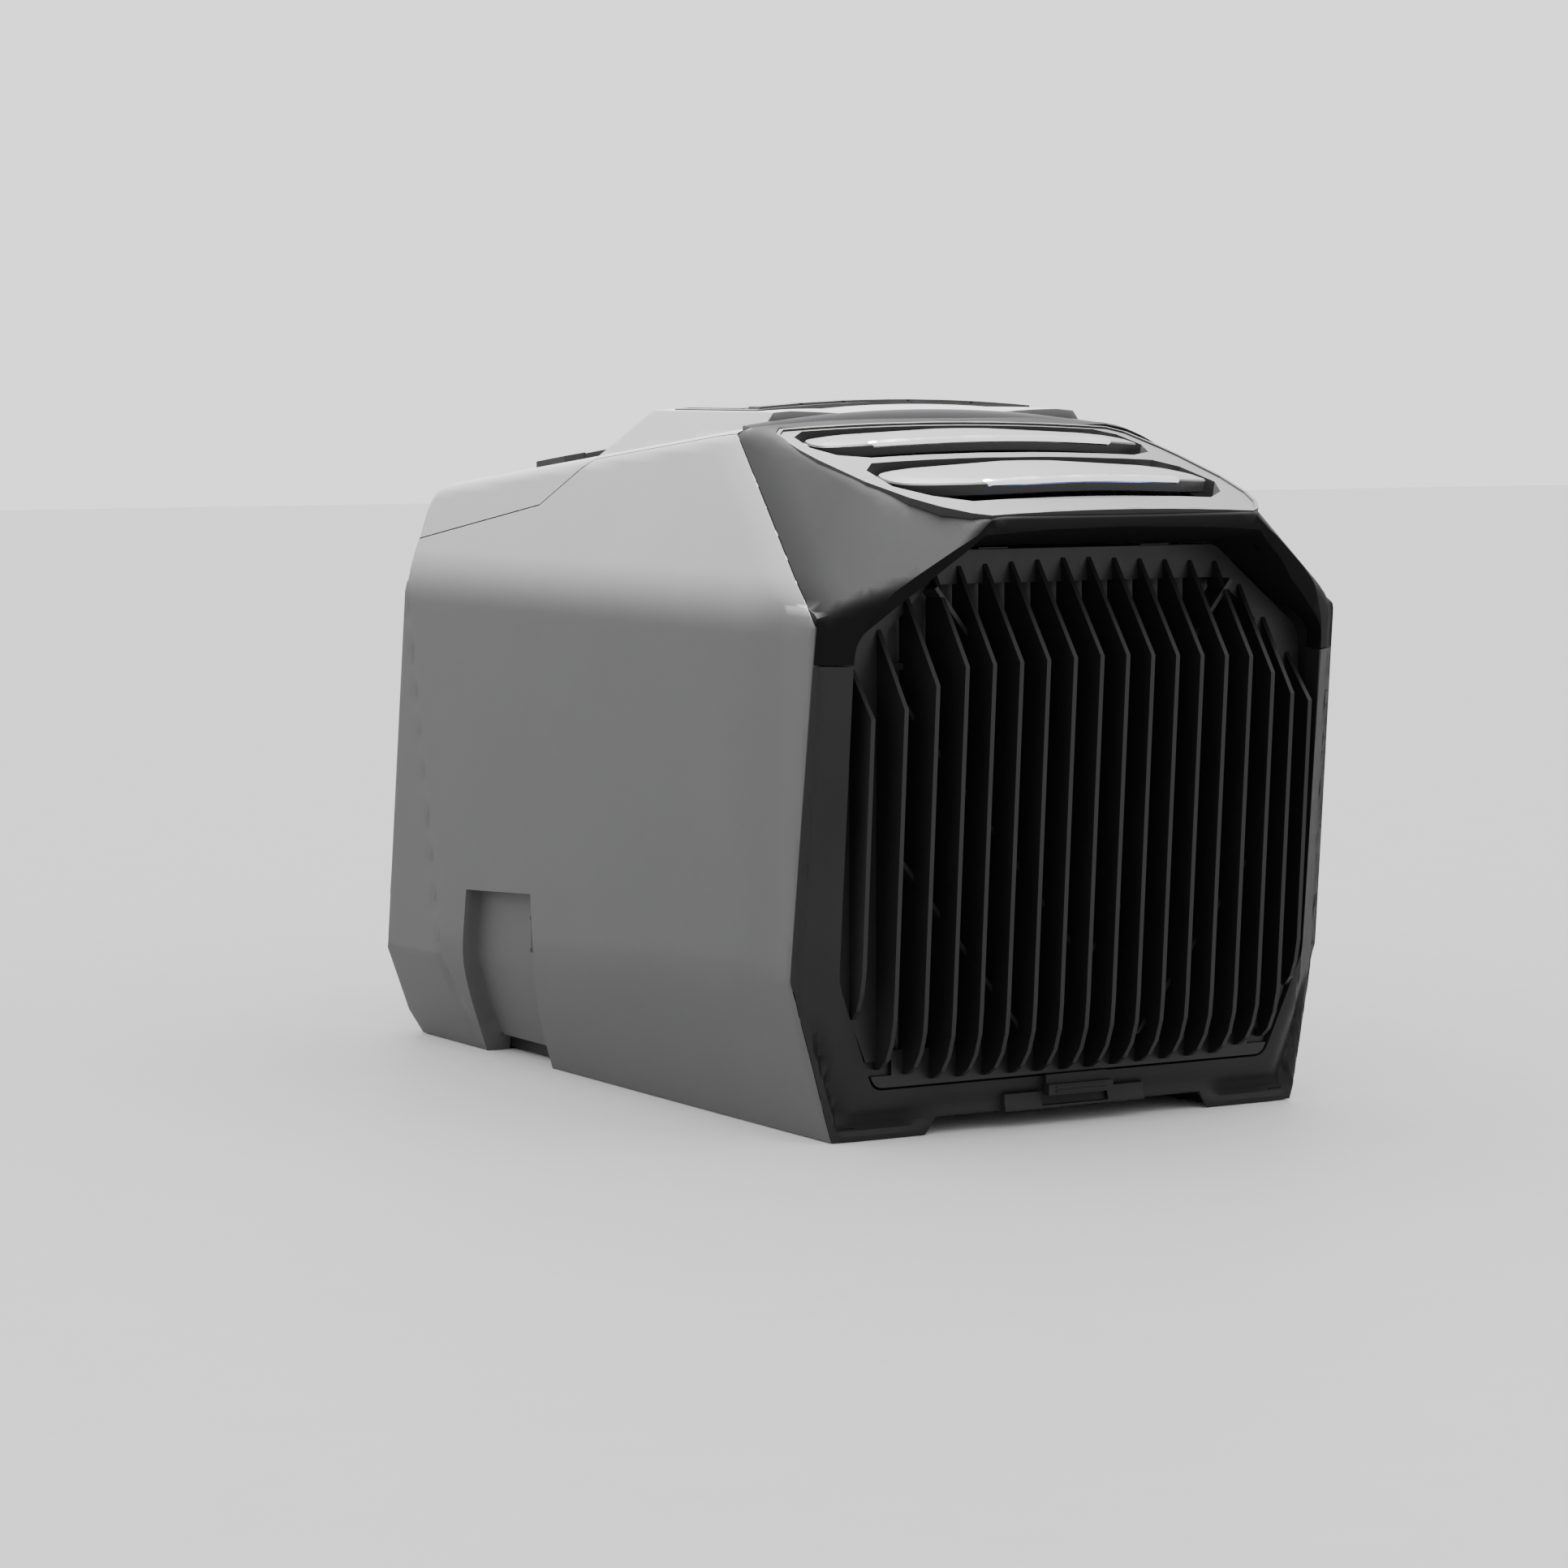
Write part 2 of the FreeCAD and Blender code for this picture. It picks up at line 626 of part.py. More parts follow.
# ---- rear ---------------------------------------------------------------------------------
def rear_face(depth):
    """Rear panel block; its face stands proud of the side panels and leans with their edge."""
    points = [(150, 8), (217 - depth, 8), (212.5 - depth, 50), (197 - depth, 240), (197 - depth, 256),
              (150, 256)]
    return prism_x(points, -170, 170).common(casing_rear(depth + 3.6))


def casing_rear(depth):
    """Casing cross-section carried straight through the rear end."""
    half = [(139.5, 243), (145.2, 76), (143.6, 50), (124.5, 3), (0, 3)]
    top = [(130, 258), (0, 258)]
    right = inset(both(list(reversed(top[:1])) + half[:-1]), depth - 3.6)
    return prism_y(right, 100, 260)


def rear_panel():
    shell = rear_face(0).cut(rear_face(WALL).fuse(box(-170, 170, 100, 186, 0, 300)))
    cut = soften(box(-HOUSING_X, HOUSING_X, 150, 300, HOUSING_Z[0], HOUSING_Z[1]), 14, (0, 1, 0))
    shell = shell.cut(cut)
    shell = shell.cut(box(60, 104, 150, 300, 40, 66)).cut(box(14, 48, 150, 300, 40, 66))
    shell = shell.cut(cylinder(8.2, (-90, 150, 26), (0, 1, 0), 90))
    for z in range(214, 246, 8):
        shell = shell.cut(box(-96, 96, 150, 300, z, z + 3.6))
    return clean(shell)


def duct_housing():
    low, high = HOUSING_Z
    outer = box(-HOUSING_X + 0.4, HOUSING_X - 0.4, 196, REAR, low + 0.4, high - 0.4)
    outer = soften(outer, 13, (0, 1, 0))
    rim = [e for e in outer.Edges if abs(e.CenterOfMass.y - REAR) < 0.01]
    outer = outer.makeChamfer(6, rim)
    inner = soften(box(-HOUSING_X + 3, HOUSING_X - 3, 190, REAR - 3, low + 3, high - 3), 10, (0, 1, 0))
    inner = inner.makeChamfer(6, [e for e in inner.Edges if abs(e.CenterOfMass.y - REAR + 3) < 0.01])
    shell = outer.cut(inner)
    for side in (1, -1):
        ring = cylinder(DUCT_R + 3, (side * DUCT_X, 214, DUCT_Z), (0, 1, 0), REAR - 215)
        bore = cylinder(DUCT_R, (side * DUCT_X, 150, DUCT_Z), (0, 1, 0), 200)
        shell = shell.fuse(ring).cut(bore)
        for turn in (0, 120, 240):
            angle = math.radians(turn + 90)
            x = side * DUCT_X + (DUCT_R + 1) * math.cos(angle)
            z = DUCT_Z + (DUCT_R + 1) * math.sin(angle)
            shell = shell.cut(box(x - 5, x + 5, REAR - 9, REAR + 1, z - 2, z + 2))
    return clean(shell)


def duct_guard(side):
    """Ring, rings of wire and spokes that keep fingers out of a duct port."""
    centre = (side * DUCT_X, 209.6, DUCT_Z)
    parts = [tube(DUCT_R + 2, DUCT_R - 1, centre, (0, 1, 0), 4)]
    for radius in (10, 20, 30):
        parts.append(tube(radius + 0.9, radius - 0.9, centre, (0, 1, 0), 2.4))
    for turn in range(0, 180, 30):
        spoke = box(-DUCT_R, DUCT_R, 0, 2.4, -0.9, 0.9)
        spoke.Placement = Placement(Vector(*centre), Rotation(Vector(0, 1, 0), turn))
        parts.append(spoke)
    return fuse(parts)


def port_flap():
    """Rubber cover over the power sockets, hinged along its lower edge."""
    flap = box(12, 106, 215.4, 218.4, 38, 68)
    flap = soften(flap, 4, (0, 1, 0))
    grip = box(50, 68, 218.2, 220.4, 62, 66)
    hinge = cylinder(1.6, (20, 216.9, 37.2), (1, 0, 0), 78)
    return fuse([flap, grip, hinge])


def mains_inlet():
    body = soften(box(61, 103, 186, 212, 41, 65), 3, (0, 1, 0))
    well = soften(box(67, 97, 193, 220, 44.5, 61.5), 3, (0, 1, 0))
    pins = [box(x - 1, x + 1, 190, 204, 51, 56) for x in (74, 82, 90)]
    return clean(body.cut(well).fuse(fuse(pins)))


def dc_socket():
    body = soften(box(15, 47, 186, 212, 41, 65), 3, (0, 1, 0))
    well = soften(box(19, 43, 195, 220, 46, 60), 3, (0, 1, 0))
    pins = [cylinder(1.3, (x, 192, 53), (0, 1, 0), 11) for x in (25, 31, 37)]
    return clean(body.cut(well).fuse(fuse(pins)))


def drain_spout():
    return tube(7.6, 5.0, (-90, 186, 26), (0, 1, 0), 34)


def drain_plug():
    cap = cylinder(9.5, (-90, 220.4, 26), (0, 1, 0), 4)
    stem = cylinder(4.6, (-90, 205, 26), (0, 1, 0), 15.4)
    return clean(cap.fuse(stem))


# ---- base ---------------------------------------------------------------------------------
def base_pan():
    """Drip tray with a runner along each side."""
    edge = FLANGE_X - SEAM
    half = [(82, 1.5), (edge, 1.5), (edge, 16), (edge - WALL, 16), (edge - WALL, 4.5), (84, 4.5), (80, 12.4)]
    points = half + [(-x, z) for x, z in reversed(half)] + [(-78, 9), (78, 9)]
    pan = prism_y(points, -205, 204)
    ribs = [box(-79, 79, y - 1.5, y + 1.5, 10, 20) for y in (-150, 90)]
    window = box(-20, 20, -10, 10, 5, 15)
    return clean(pan.multiFuse(ribs).cut(window))


def foot_pads():
    pads = []
    for x in (-99, 99):
        for y in (-165, 165):
            pads.append(soften(box(x - 15, x + 15, y - 24, y + 24, 0, 1.5), 6))
    return group(pads)


# ---- internals ----------------------------------------------------------------------------
def compressor():
    body = cylinder(44, (-52, 6, 30), (0, 0, 1), 128)
    body = body.makeFillet(16, [e for e in body.Edges if isinstance(e.Curve, Part.Circle)])
    feet = Part.makeCylinder(54, 4, Vector(-52, 6, 26))
    return clean(body.fuse(feet))


def accumulator():
    body = cylinder(20, (17, 6, 44), (0, 0, 1), 96)
    body = body.makeFillet(9, [e for e in body.Edges if isinstance(e.Curve, Part.Circle)])
    return clean(body.fuse(box(-7.7, 0, 0, 12, 80, 84)).fuse(box(-3, 17, 4, 8, 80, 84)))


def compressor_mounts():
    mounts = []
    for turn in (30, 150, 270):
        angle = math.radians(turn)
        x, y = -52 + 47 * math.cos(angle), 6 + 47 * math.sin(angle)
        mounts.append(Part.makeCone(9, 7, 13.6, Vector(x, y, 12.4)))
    return group(mounts)


def finned_coil(y0, y1, x_half, z0, z1, rows):
    """Fin-and-tube heat exchanger: a block of fins with end plates and return bends."""
    block = box(-x_half, x_half, y0, y1, z0, z1)
    pitch = 12.0
    fins = [box(-x_half + 3 + i * pitch, -x_half + 5 + i * pitch, y0 - 1, y1 + 1, z0 + 3, z1 - 3)
            for i in range(int((2 * x_half - 4) / pitch))]
    block = block.multiFuse(fins)
    bends = []
    step = (z1 - z0) / rows
    for i in range(rows):
        z = z0 + step * (i + 0.5)
        bend = Part.makeTorus(step / 4, 3.2, Vector(x_half - 0.5, (y0 + y1) / 2, z), Vector(0, 1, 0), 0, 360)
        bends.append(bend)
    return clean(block.multiFuse(bends))


def blower(centre, radius, depth, blades):
    """Backward-bladed wheel on a hub, its axis along Y."""
    x, y, z = centre
    plate = tube(radius, 4.1, (x, y, z), (0, 1, 0), 2)
    ring = tube(radius, radius - 16, (x, y + depth - 2, z), (0, 1, 0), 2)
    hub = tube(12, 4.1, (x, y, z), (0, 1, 0), 16)
    parts = [plate, ring, hub]
    for i in range(blades):
        blade = box(radius - 18, radius - 1, 0, depth, -1, 1)
        blade.rotate(Vector(radius - 18, 0, 0), Vector(0, 1, 0), 35)
        blade.rotate(Vector(0, 0, 0), Vector(0, 1, 0), 360.0 * i / blades)
        blade.translate(Vector(x, y, z))
        parts.append(blade)
    wheel = fuse(parts)
    return wheel.common(cylinder(radius, (x, y, z), (0, 1, 0), depth))


def motor(centre, length, shaft, way):
    """Can motor running along Y from centre, its shaft reaching the other way into the wheel's hub."""
    can = cylinder(27, centre, (0, way, 0), length)
    return clean(can.fuse(cylinder(4.1 - PIN_FIT, centre, (0, -way, 0), shaft)))


def bulkhead():
    wall = box(-118, 118, -84, -81.5, 20.4, 250)
    wall = wall.cut(cylinder(28, (0, -90, 165), (0, 1, 0), 20))
    return wall.cut(cylinder(6, (80, -90, 70), (0, 1, 0), 20))


def pipe(points, radius):
    """Round copper pipe of straight runs with tangent arcs at the corners."""
    edges = []
    start = Vector(*points[0])
    for i in range(1, len(points) - 1):
        corner = Vector(*points[i])
        before = (corner - Vector(*points[i - 1])).normalize()
        after = (Vector(*points[i + 1]) - corner).normalize()
        half_turn = before.getAngle(after) / 2
        inwards = (after - before).normalize()
        into = corner - before * (PIPE_BEND * math.tan(half_turn))
        out = corner + after * (PIPE_BEND * math.tan(half_turn))
        middle = corner + inwards * (PIPE_BEND * (1 / math.cos(half_turn) - 1))
        edges.append(Part.makeLine(start, into))
        edges.append(Part.Arc(into, middle, out).toShape())
        start = out
    edges.append(Part.makeLine(start, Vector(*points[-1])))
    axis = (Vector(*points[1]) - Vector(*points[0])).normalize()
    profile = Part.Wire(Part.Circle(Vector(*points[0]), axis, radius).toShape())
    return Part.Wire(edges).makePipeShell([profile], True, False)


def refrigerant_pipes():
    """Copper lines: compressor to condenser, condenser to evaporator, and the suction return."""
    runs = (
        ((-52, 6, 158.6), (-52, 6, 205), (-70, 90, 205), (-70, 90, 232), (-70, 138.4, 232)),
        ((17, 6, 140.6), (17, 6, 200), (17, -60, 200), (80, -60, 200), (80, -60, 70), (80, -164, 70)),
        ((-95, 138.4, 84), (-95, 100, 84), (-112, 60, 60), (-112, -68, 60), (-112, -68, 160), (-112, -30, 160)),
    )
    return group(pipe(run, 3.6) for run in runs)


def circuit_board():
    """Upright control board with a row of components standing on it."""
    parts = [box(BOARD_X, BOARD_X + 1.6, -40, 60, 110, 210)]
    for i in range(5):
        low = -32 + 18 * i
        depth = 9 + 3 * (i % 3)
        parts.append(box(BOARD_X - depth, BOARD_X, low, low + 11, 120, 142 + 8 * (i % 2)))
        parts.append(box(BOARD_X - 5, BOARD_X, low, low + 7, 170, 184))
    return fuse(parts)


def battery_connector():
    """Blade connector under the base for a clip-on battery pack."""
    body = soften(box(-24, 24, -12, 12, 12.4, 26), 3)
    blades = [box(x - 0.8, x + 0.8, -8, 8, 9.6, 13) for x in (-15, -5, 5, 15)]
    return fuse([body] + blades)


def water_pump():
    body = cylinder(13, (70, 150, 30), (0, 0, 1), 34)
    spout = cylinder(3.4, (70, 150, 58), (0, -1, 0), 26)
    return clean(body.fuse(spout))


def casing_screws():
    screws = []
    for side in (1, -1):
        for y, z in ((-150, 120), (-60, 120), (160, 120), (-150, 200), (-60, 200), (160, 200)):
            head = cylinder(3.2, (side * 132.4, y, z), (side, 0, 0), 2.4)
            screws.append(head)
    return group(screws)


# ---- write the parts ----------------------------------------------------------------------
def build():
    panel = side_panel()
    parts = {
        "right_side_panel": panel,
        "left_side_panel": mirror(panel),
        "right_battery_catch": recess_catch(),
        "left_battery_catch": mirror(recess_catch()),
        "front_hood": front_hood(),
        "front_frame": front_frame(),
        "rear_top_cover": rear_top_cover(),
        "rear_vent_ribs": rear_vent_ribs(),
        "outlet_panel": outlet_panel(),
        "upper_louvre": louvre(UPPER),
        "lower_louvre": louvre(LOWER),
        "upper_louvre_trim": louvre_trim(UPPER),
        "lower_louvre_trim": louvre_trim(LOWER),
        "louvre_pins": louvre_pins(),
        "upper_guide_vanes": guide_vanes(UPPER),
        "lower_guide_vanes": guide_vanes(LOWER),
        "status_light_strip": led_strip(),
        "intake_grille": intake_grille(),
        "grille_latch": grille_latch(),
        "filter_frame": filter_frame(),
        "filter_mesh": filter_mesh(),
        "control_band": control_band(),
        "control_base": control_base(),
        "display_lens": display_lens(),
        "rear_panel": rear_panel(),
        "duct_housing": duct_housing(),
        "right_duct_guard": duct_guard(1),
        "left_duct_guard": duct_guard(-1),
        "port_flap": port_flap(),
        "mains_inlet": mains_inlet(),
        "dc_socket": dc_socket(),
        "drain_spout": drain_spout(),
        "drain_plug": drain_plug(),
        "base_pan": base_pan(),
        "foot_pads": foot_pads(),
        "compressor": compressor(),
        "accumulator": accumulator(),
        "compressor_mounts": compressor_mounts(),
        "evaporator_coil": finned_coil(-200, -166, 112, 44, 246, 9),
        "condenser_coil": finned_coil(140, 172, 108, 70, 240, 8),
        "evaporator_blower": blower((0, -146, 165), 74, 42, 30),
        "evaporator_motor": motor((0, -128, 165), 56, 16, 1),
        "condenser_fan": blower((30, 96, 150), 70, 32, 24),
        "condenser_motor": motor((30, 94, 150), 36, 17, -1),
        "refrigerant_pipes": refrigerant_pipes(),
        "control_board": circuit_board(),
        "bulkhead": bulkhead(),
        "battery_connector": battery_connector(),
        "water_pump": water_pump(),
        "casing_screws": casing_screws(),
    }
    for index, (left, right) in enumerate(key_spans(), start=1):
        parts["key_%d" % index] = key_cap(left, right)
    for name, shape in parts.items():
        save(name, shape)
    return parts


if __name__ == "__main__":
    build()
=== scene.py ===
import json
import math

import bmesh
import bpy
import numpy as np
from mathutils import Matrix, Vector


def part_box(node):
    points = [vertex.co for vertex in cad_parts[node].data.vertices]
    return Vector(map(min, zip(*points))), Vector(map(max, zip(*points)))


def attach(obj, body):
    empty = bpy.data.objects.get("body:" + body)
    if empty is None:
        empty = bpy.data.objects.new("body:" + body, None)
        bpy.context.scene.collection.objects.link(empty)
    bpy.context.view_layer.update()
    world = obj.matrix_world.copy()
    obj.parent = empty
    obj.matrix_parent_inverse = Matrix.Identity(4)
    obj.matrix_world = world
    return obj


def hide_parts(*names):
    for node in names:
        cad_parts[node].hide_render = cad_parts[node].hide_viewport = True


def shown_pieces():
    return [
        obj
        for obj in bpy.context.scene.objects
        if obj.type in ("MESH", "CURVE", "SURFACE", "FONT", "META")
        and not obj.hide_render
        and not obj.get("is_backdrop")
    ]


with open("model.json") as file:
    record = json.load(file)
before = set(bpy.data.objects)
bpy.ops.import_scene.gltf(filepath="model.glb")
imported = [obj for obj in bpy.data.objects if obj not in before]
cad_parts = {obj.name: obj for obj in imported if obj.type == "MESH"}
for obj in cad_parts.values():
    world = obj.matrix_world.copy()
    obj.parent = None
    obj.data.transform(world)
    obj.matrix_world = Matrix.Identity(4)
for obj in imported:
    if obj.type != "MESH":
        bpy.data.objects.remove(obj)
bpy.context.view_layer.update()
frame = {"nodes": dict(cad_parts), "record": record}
NODES = frame["nodes"]
MM = 0.001

# ---- camera ---------------------------------------------------------------------------------
CAMERA_AT = (-1.2245, -2.0180, 0.3511)
CAMERA_AZIMUTH = math.radians(-30.66)
CAMERA_ELEVATION = math.radians(5.055)
CAMERA_LENS = 107.93

# ---- outer form in millimetres: (point, outward normal, blend) for the +X side ----------------
SOFT_FACETS = (
    ((144.4, 0, 243), (1, 0, 0.0205), 0.0),
    ((144.4, -163, 243), (1, -0.035, 0.0205), 0.4),
    ((145.0, 0, 243), (79.3, 0, 37.4), 6.0),
    ((133.5, 0, 0), (1, -0.0175, -0.2468), 3.0),
    ((129.4, 0, 0), (1, 0.0019, -0.4167), 3.0),
    ((107.6, -88.2, 322.3), (0.10, 0.1085, 1), 6.0),
    ((107.6, -88.2, 322.3), (0.730, -0.193, 0.656), 6.0),
    ((97.0, -212, 294), (0.6195, -0.4487, 0.6445), 6.0),
    ((144.3, -222.1, 218.9), (0.586, -0.807, -0.068), 4.0),
    ((0, -88, 328.5), (0, 0.1085, 1), 3.0),
    ((0, 195.5, 297.7), (0, 16.7, 5.5), 5.0),
    ((0, 201, 281), (0, 19.0, -4.5), 4.0),
    ((0, -259, 285), (0, -7.7, 0.6), 4.0),
    ((0, -259, 285), (0, -43.5, 171), 1.5),
)
SKIN_DEPTH = 14.0           # how far below the facets the rounding still moves points, mm
ROUNDING_STEPS = 8
SKIN_TOLERANCE = 1.2        # a point this close to the rounded form is on the skin, mm
SKIN_AGREEMENT = 0.80       # least cosine between a corner's normal and the rounded form's
# the two values below pick the joint walls that get painted shade
JOINT_REACH = 4.0           # half width of the band searched for joint walls, mm
JOINT_DEPTH = 0.45          # a face this far below the skin is a joint wall, mm
PILLAR_SINK = 1.3
FOOT_HOLLOW = 6.0
FACE_SPACING = 5.0          # grid of the rounded shells, mm
FRAME_SPACING = 2.5


# ---- materials ------------------------------------------------------------------------------
def noise(tree, scale, detail, vector):
    node = tree.nodes.new("ShaderNodeTexNoise")
    node.inputs["Scale"].default_value = scale
    node.inputs["Detail"].default_value = detail
    tree.links.new(vector, node.inputs["Vector"])
    return node.outputs["Fac"]


def ramp(tree, value, low, high):
    node = tree.nodes.new("ShaderNodeMapRange")
    node.inputs["From Min"].default_value = 0.3
    node.inputs["From Max"].default_value = 0.7
    node.inputs["To Min"].default_value = low
    node.inputs["To Max"].default_value = high
    tree.links.new(value, node.inputs["Value"])
    return node.outputs["Result"]


def blend_colour(tree, fac, dark, light):
    node = tree.nodes.new("ShaderNodeMix")
    node.data_type = "RGBA"
    node.inputs["A"].default_value = (*dark, 1)
    node.inputs["B"].default_value = (*light, 1)
    tree.links.new(fac, node.inputs["Factor"])
    return node.outputs["Result"]


def finish_material(
    name, colour, rough, grain=1400.0, depth=0.05, spread=0.06, swing=0.05,
    metallic=0.0, coat=0.0, specular=0.5, stretch=(1, 1, 1),
):
    """Moulded or metal finish: mottled colour, uneven gloss and a fine grain."""
    mat = bpy.data.materials.new(name)
    mat.use_nodes = True
    tree = mat.node_tree
    shader = tree.nodes["Principled BSDF"]
    shader.inputs["Metallic"].default_value = metallic
    shader.inputs["Specular IOR Level"].default_value = specular
    shader.inputs["Coat Weight"].default_value = coat
    shader.inputs["Coat Roughness"].default_value = 0.06
    where = tree.nodes.new("ShaderNodeTexCoord").outputs["Object"]
    mapped = tree.nodes.new("ShaderNodeMapping")
    mapped.inputs["Scale"].default_value = stretch
    tree.links.new(where, mapped.inputs["Vector"])
    where = mapped.outputs["Vector"]
    dark = tuple(c * (1 - spread) for c in colour)
    light = tuple(min(1.0, c * (1 + spread)) for c in colour)
    cloud = ramp(tree, noise(tree, 24.0, 4.0, where), 0.0, 1.0)
    tree.links.new(blend_colour(tree, cloud, dark, light), shader.inputs["Base Color"])
    sheen = ramp(tree, noise(tree, 130.0, 3.0, where), rough - swing, rough + swing)
    tree.links.new(sheen, shader.inputs["Roughness"])
    bump = tree.nodes.new("ShaderNodeBump")
    bump.inputs["Strength"].default_value = 0.35
    bump.inputs["Distance"].default_value = depth * MM
    tree.links.new(noise(tree, grain, 2.0, where), bump.inputs["Height"])
    tree.links.new(bump.outputs["Normal"], shader.inputs["Normal"])
    return mat


LOOKS = {
    "shell_grey": finish_material(
        "satin_grey_shell", (0.078, 0.078, 0.079), 0.56, 1500, 0.05, 0.018, 0.012, specular=0.15),
    "hood_graphite": finish_material(
        "graphite_hood", (0.0058, 0.0058, 0.0060), 0.60, 1500, 0.05, 0.04, 0.012, specular=0.03),
    "deck_grey": finish_material(
        "satin_grey_deck", (0.026, 0.026, 0.0264), 0.50, 1500, 0.04, 0.03, 0.012, specular=0.12),
    "frame_black": finish_material(
        "textured_black_frame", (0.0140, 0.0140, 0.0144), 0.50, 1300, 0.05, 0.08, 0.03, specular=0.15),
    "grille_black": finish_material(
        "matt_black_grille", (0.0075, 0.0075, 0.0078), 0.42, 1200, 0.05, 0.08, 0.03, specular=0.3),
    # painted shade: near-black colour for the walls inside the joints between casing parts, standing in
    # for their shadow
    "painted_joint_shade": finish_material(
        "painted_joint_shade_wall", (0.004, 0.004, 0.004), 0.8, 1200, 0.02, 0.05, 0.03, specular=0.05),
    "louvre_grey": finish_material(
        "satin_grey_louvre", (0.042, 0.042, 0.0424), 0.44, 1600, 0.03, 0.03, 0.012, specular=0.15),
    "louvre_lip": finish_material(
        "dark_louvre_lip", (0.010, 0.010, 0.0104), 0.32, 1600, 0.03, 0.05, 0.02, specular=0.4),
    "trim_bright": finish_material(
        "bright_trim", (0.86, 0.86, 0.87), 0.16, 900, 0.01, 0.02, 0.04, metallic=1.0),
    "band_gloss": finish_material(
        "gloss_black_band", (0.010, 0.010, 0.011), 0.10, 500, 0.01, 0.1, 0.03, coat=0.8),
    "key_dark": finish_material("satin_dark_key", (0.018, 0.018, 0.019), 0.30, 1500, 0.03),
    "display_gloss": finish_material(
        "smoked_display", (0.016, 0.017, 0.019), 0.07, 400, 0.01, 0.1, 0.02, coat=1.0),
    # painted glow: the blue base colour stands in for the light of the strip's LEDs; the material does
    # not emit
    "light_strip": finish_material("milky_strip_painted_blue_glow", (0.10, 0.13, 0.36), 0.3, 900, 0.02),
    "rubber_black": finish_material("matt_rubber", (0.014, 0.014, 0.014), 0.72, 1000, 0.10),
    "coil_aluminium": finish_material(
        "fin_aluminium", (0.62, 0.63, 0.64), 0.34, 700, 0.05, 0.05, 0.08,
        metallic=1.0, stretch=(6, 1, 0.15)),
    "steel_black": finish_material("black_painted_steel", (0.022, 0.022, 0.024), 0.33, 500, 0.05),
    "copper": finish_material(
        "drawn_copper", (0.66, 0.33, 0.19), 0.28, 600, 0.03, 0.12, 0.08, metallic=1.0),
    "steel_zinc": finish_material(
        "zinc_steel", (0.50, 0.50, 0.52), 0.33, 600, 0.03, 0.08, 0.08, metallic=1.0),
    "board_green": finish_material("solder_mask", (0.02, 0.11, 0.05), 0.38, 400, 0.04, 0.15),
    "filter_dark": finish_material("filter_net", (0.020, 0.020, 0.021), 0.50, 1500, 0.05),
    "white_plastic": finish_material("satin_white", (0.62, 0.62, 0.61), 0.4, 1200, 0.04),
}

SLOT_OF = {
    "right_side_panel": "shell_grey", "left_side_panel": "shell_grey",
    "rear_top_cover": "shell_grey", "right_battery_catch": "frame_black",
    "left_battery_catch": "frame_black", "front_hood": "hood_graphite",
    "front_frame": "frame_black", "rear_vent_ribs": "frame_black", "outlet_panel": "deck_grey",
    "upper_louvre": "louvre_grey", "lower_louvre": "louvre_grey",
    "upper_louvre_trim": "trim_bright", "lower_louvre_trim": "trim_bright",
    "louvre_pins": "steel_zinc", "upper_guide_vanes": "grille_black",
    "lower_guide_vanes": "grille_black", "status_light_strip": "light_strip",
    "intake_grille": "grille_black", "grille_latch": "frame_black",
    "filter_frame": "grille_black", "filter_mesh": "filter_dark", "control_band": "band_gloss",
    "control_base": "key_dark", "display_lens": "display_gloss", "key_1": "key_dark",
    "key_2": "key_dark", "key_3": "key_dark", "key_4": "key_dark", "key_5": "key_dark",
    "rear_panel": "frame_black", "duct_housing": "frame_black",
    "right_duct_guard": "grille_black", "left_duct_guard": "grille_black",
    "port_flap": "rubber_black", "mains_inlet": "grille_black", "dc_socket": "grille_black",
    "drain_spout": "grille_black", "drain_plug": "rubber_black", "base_pan": "frame_black",
    "foot_pads": "rubber_black", "compressor": "steel_black", "accumulator": "steel_black",
    "compressor_mounts": "rubber_black", "evaporator_coil": "coil_aluminium",
    "condenser_coil": "coil_aluminium", "evaporator_blower": "white_plastic",
    "evaporator_motor": "steel_zinc", "condenser_fan": "grille_black",
    "condenser_motor": "steel_zinc", "refrigerant_pipes": "copper",
    "control_board": "board_green", "bulkhead": "white_plastic",
    "battery_connector": "grille_black", "water_pump": "white_plastic",
    "casing_screws": "steel_zinc",
}


def wear(obj, look):
    if len(obj.data.materials):
        obj.data.materials.clear()
    obj.data.materials.append(LOOKS[look])


# ---- CAD pieces kept as they are -------------------------------------------------------------
def body_of_node(node):
    for body, members in frame["record"]["behaviour"]["bodies"].items():
        if node in members:
            return body
    return "casing"


def dress(node, width=0.4, segments=2, angle=28.0):
    """Give a CAD node its finish, and small moulded radii on its sharp edges."""
    obj = NODES[node]
    wear(obj, SLOT_OF[node])
    merge = obj.modifiers.new("merge", "DECIMATE")
    merge.decimate_type = "DISSOLVE"
    merge.angle_limit = math.radians(0.8)
    if width > 0:
        bevel = obj.modifiers.new("edge_radius", "BEVEL")
        bevel.width = width * MM
        bevel.segments = segments
        bevel.limit_method = "ANGLE"
        bevel.angle_limit = math.radians(angle)
        bevel.use_clamp_overlap = True
        bevel.harden_normals = True
    return obj


# ---- softened copies of the casing parts --------------------------------------------------------
def soft_max(a, b, k):
    if k <= 0:
        return np.maximum(a, b)
    h = np.maximum(k - np.abs(a - b), 0) / k
    return np.maximum(a, b) + h * h * k / 4


def casing_distance(p, soft):
    """Signed distance-like value of points (mm) to the casing's facets, with rounded creases."""
    value = None
    for side in (1, -1):
        for point, normal, k in SOFT_FACETS:
            n = np.array((side * normal[0], normal[1], normal[2]), float)
            n /= np.linalg.norm(n)
            at = np.array((side * point[0], point[1], point[2]), float)
            d = (p - at) @ n
            value = d if value is None else soft_max(value, d, k if soft else 0)
    return value


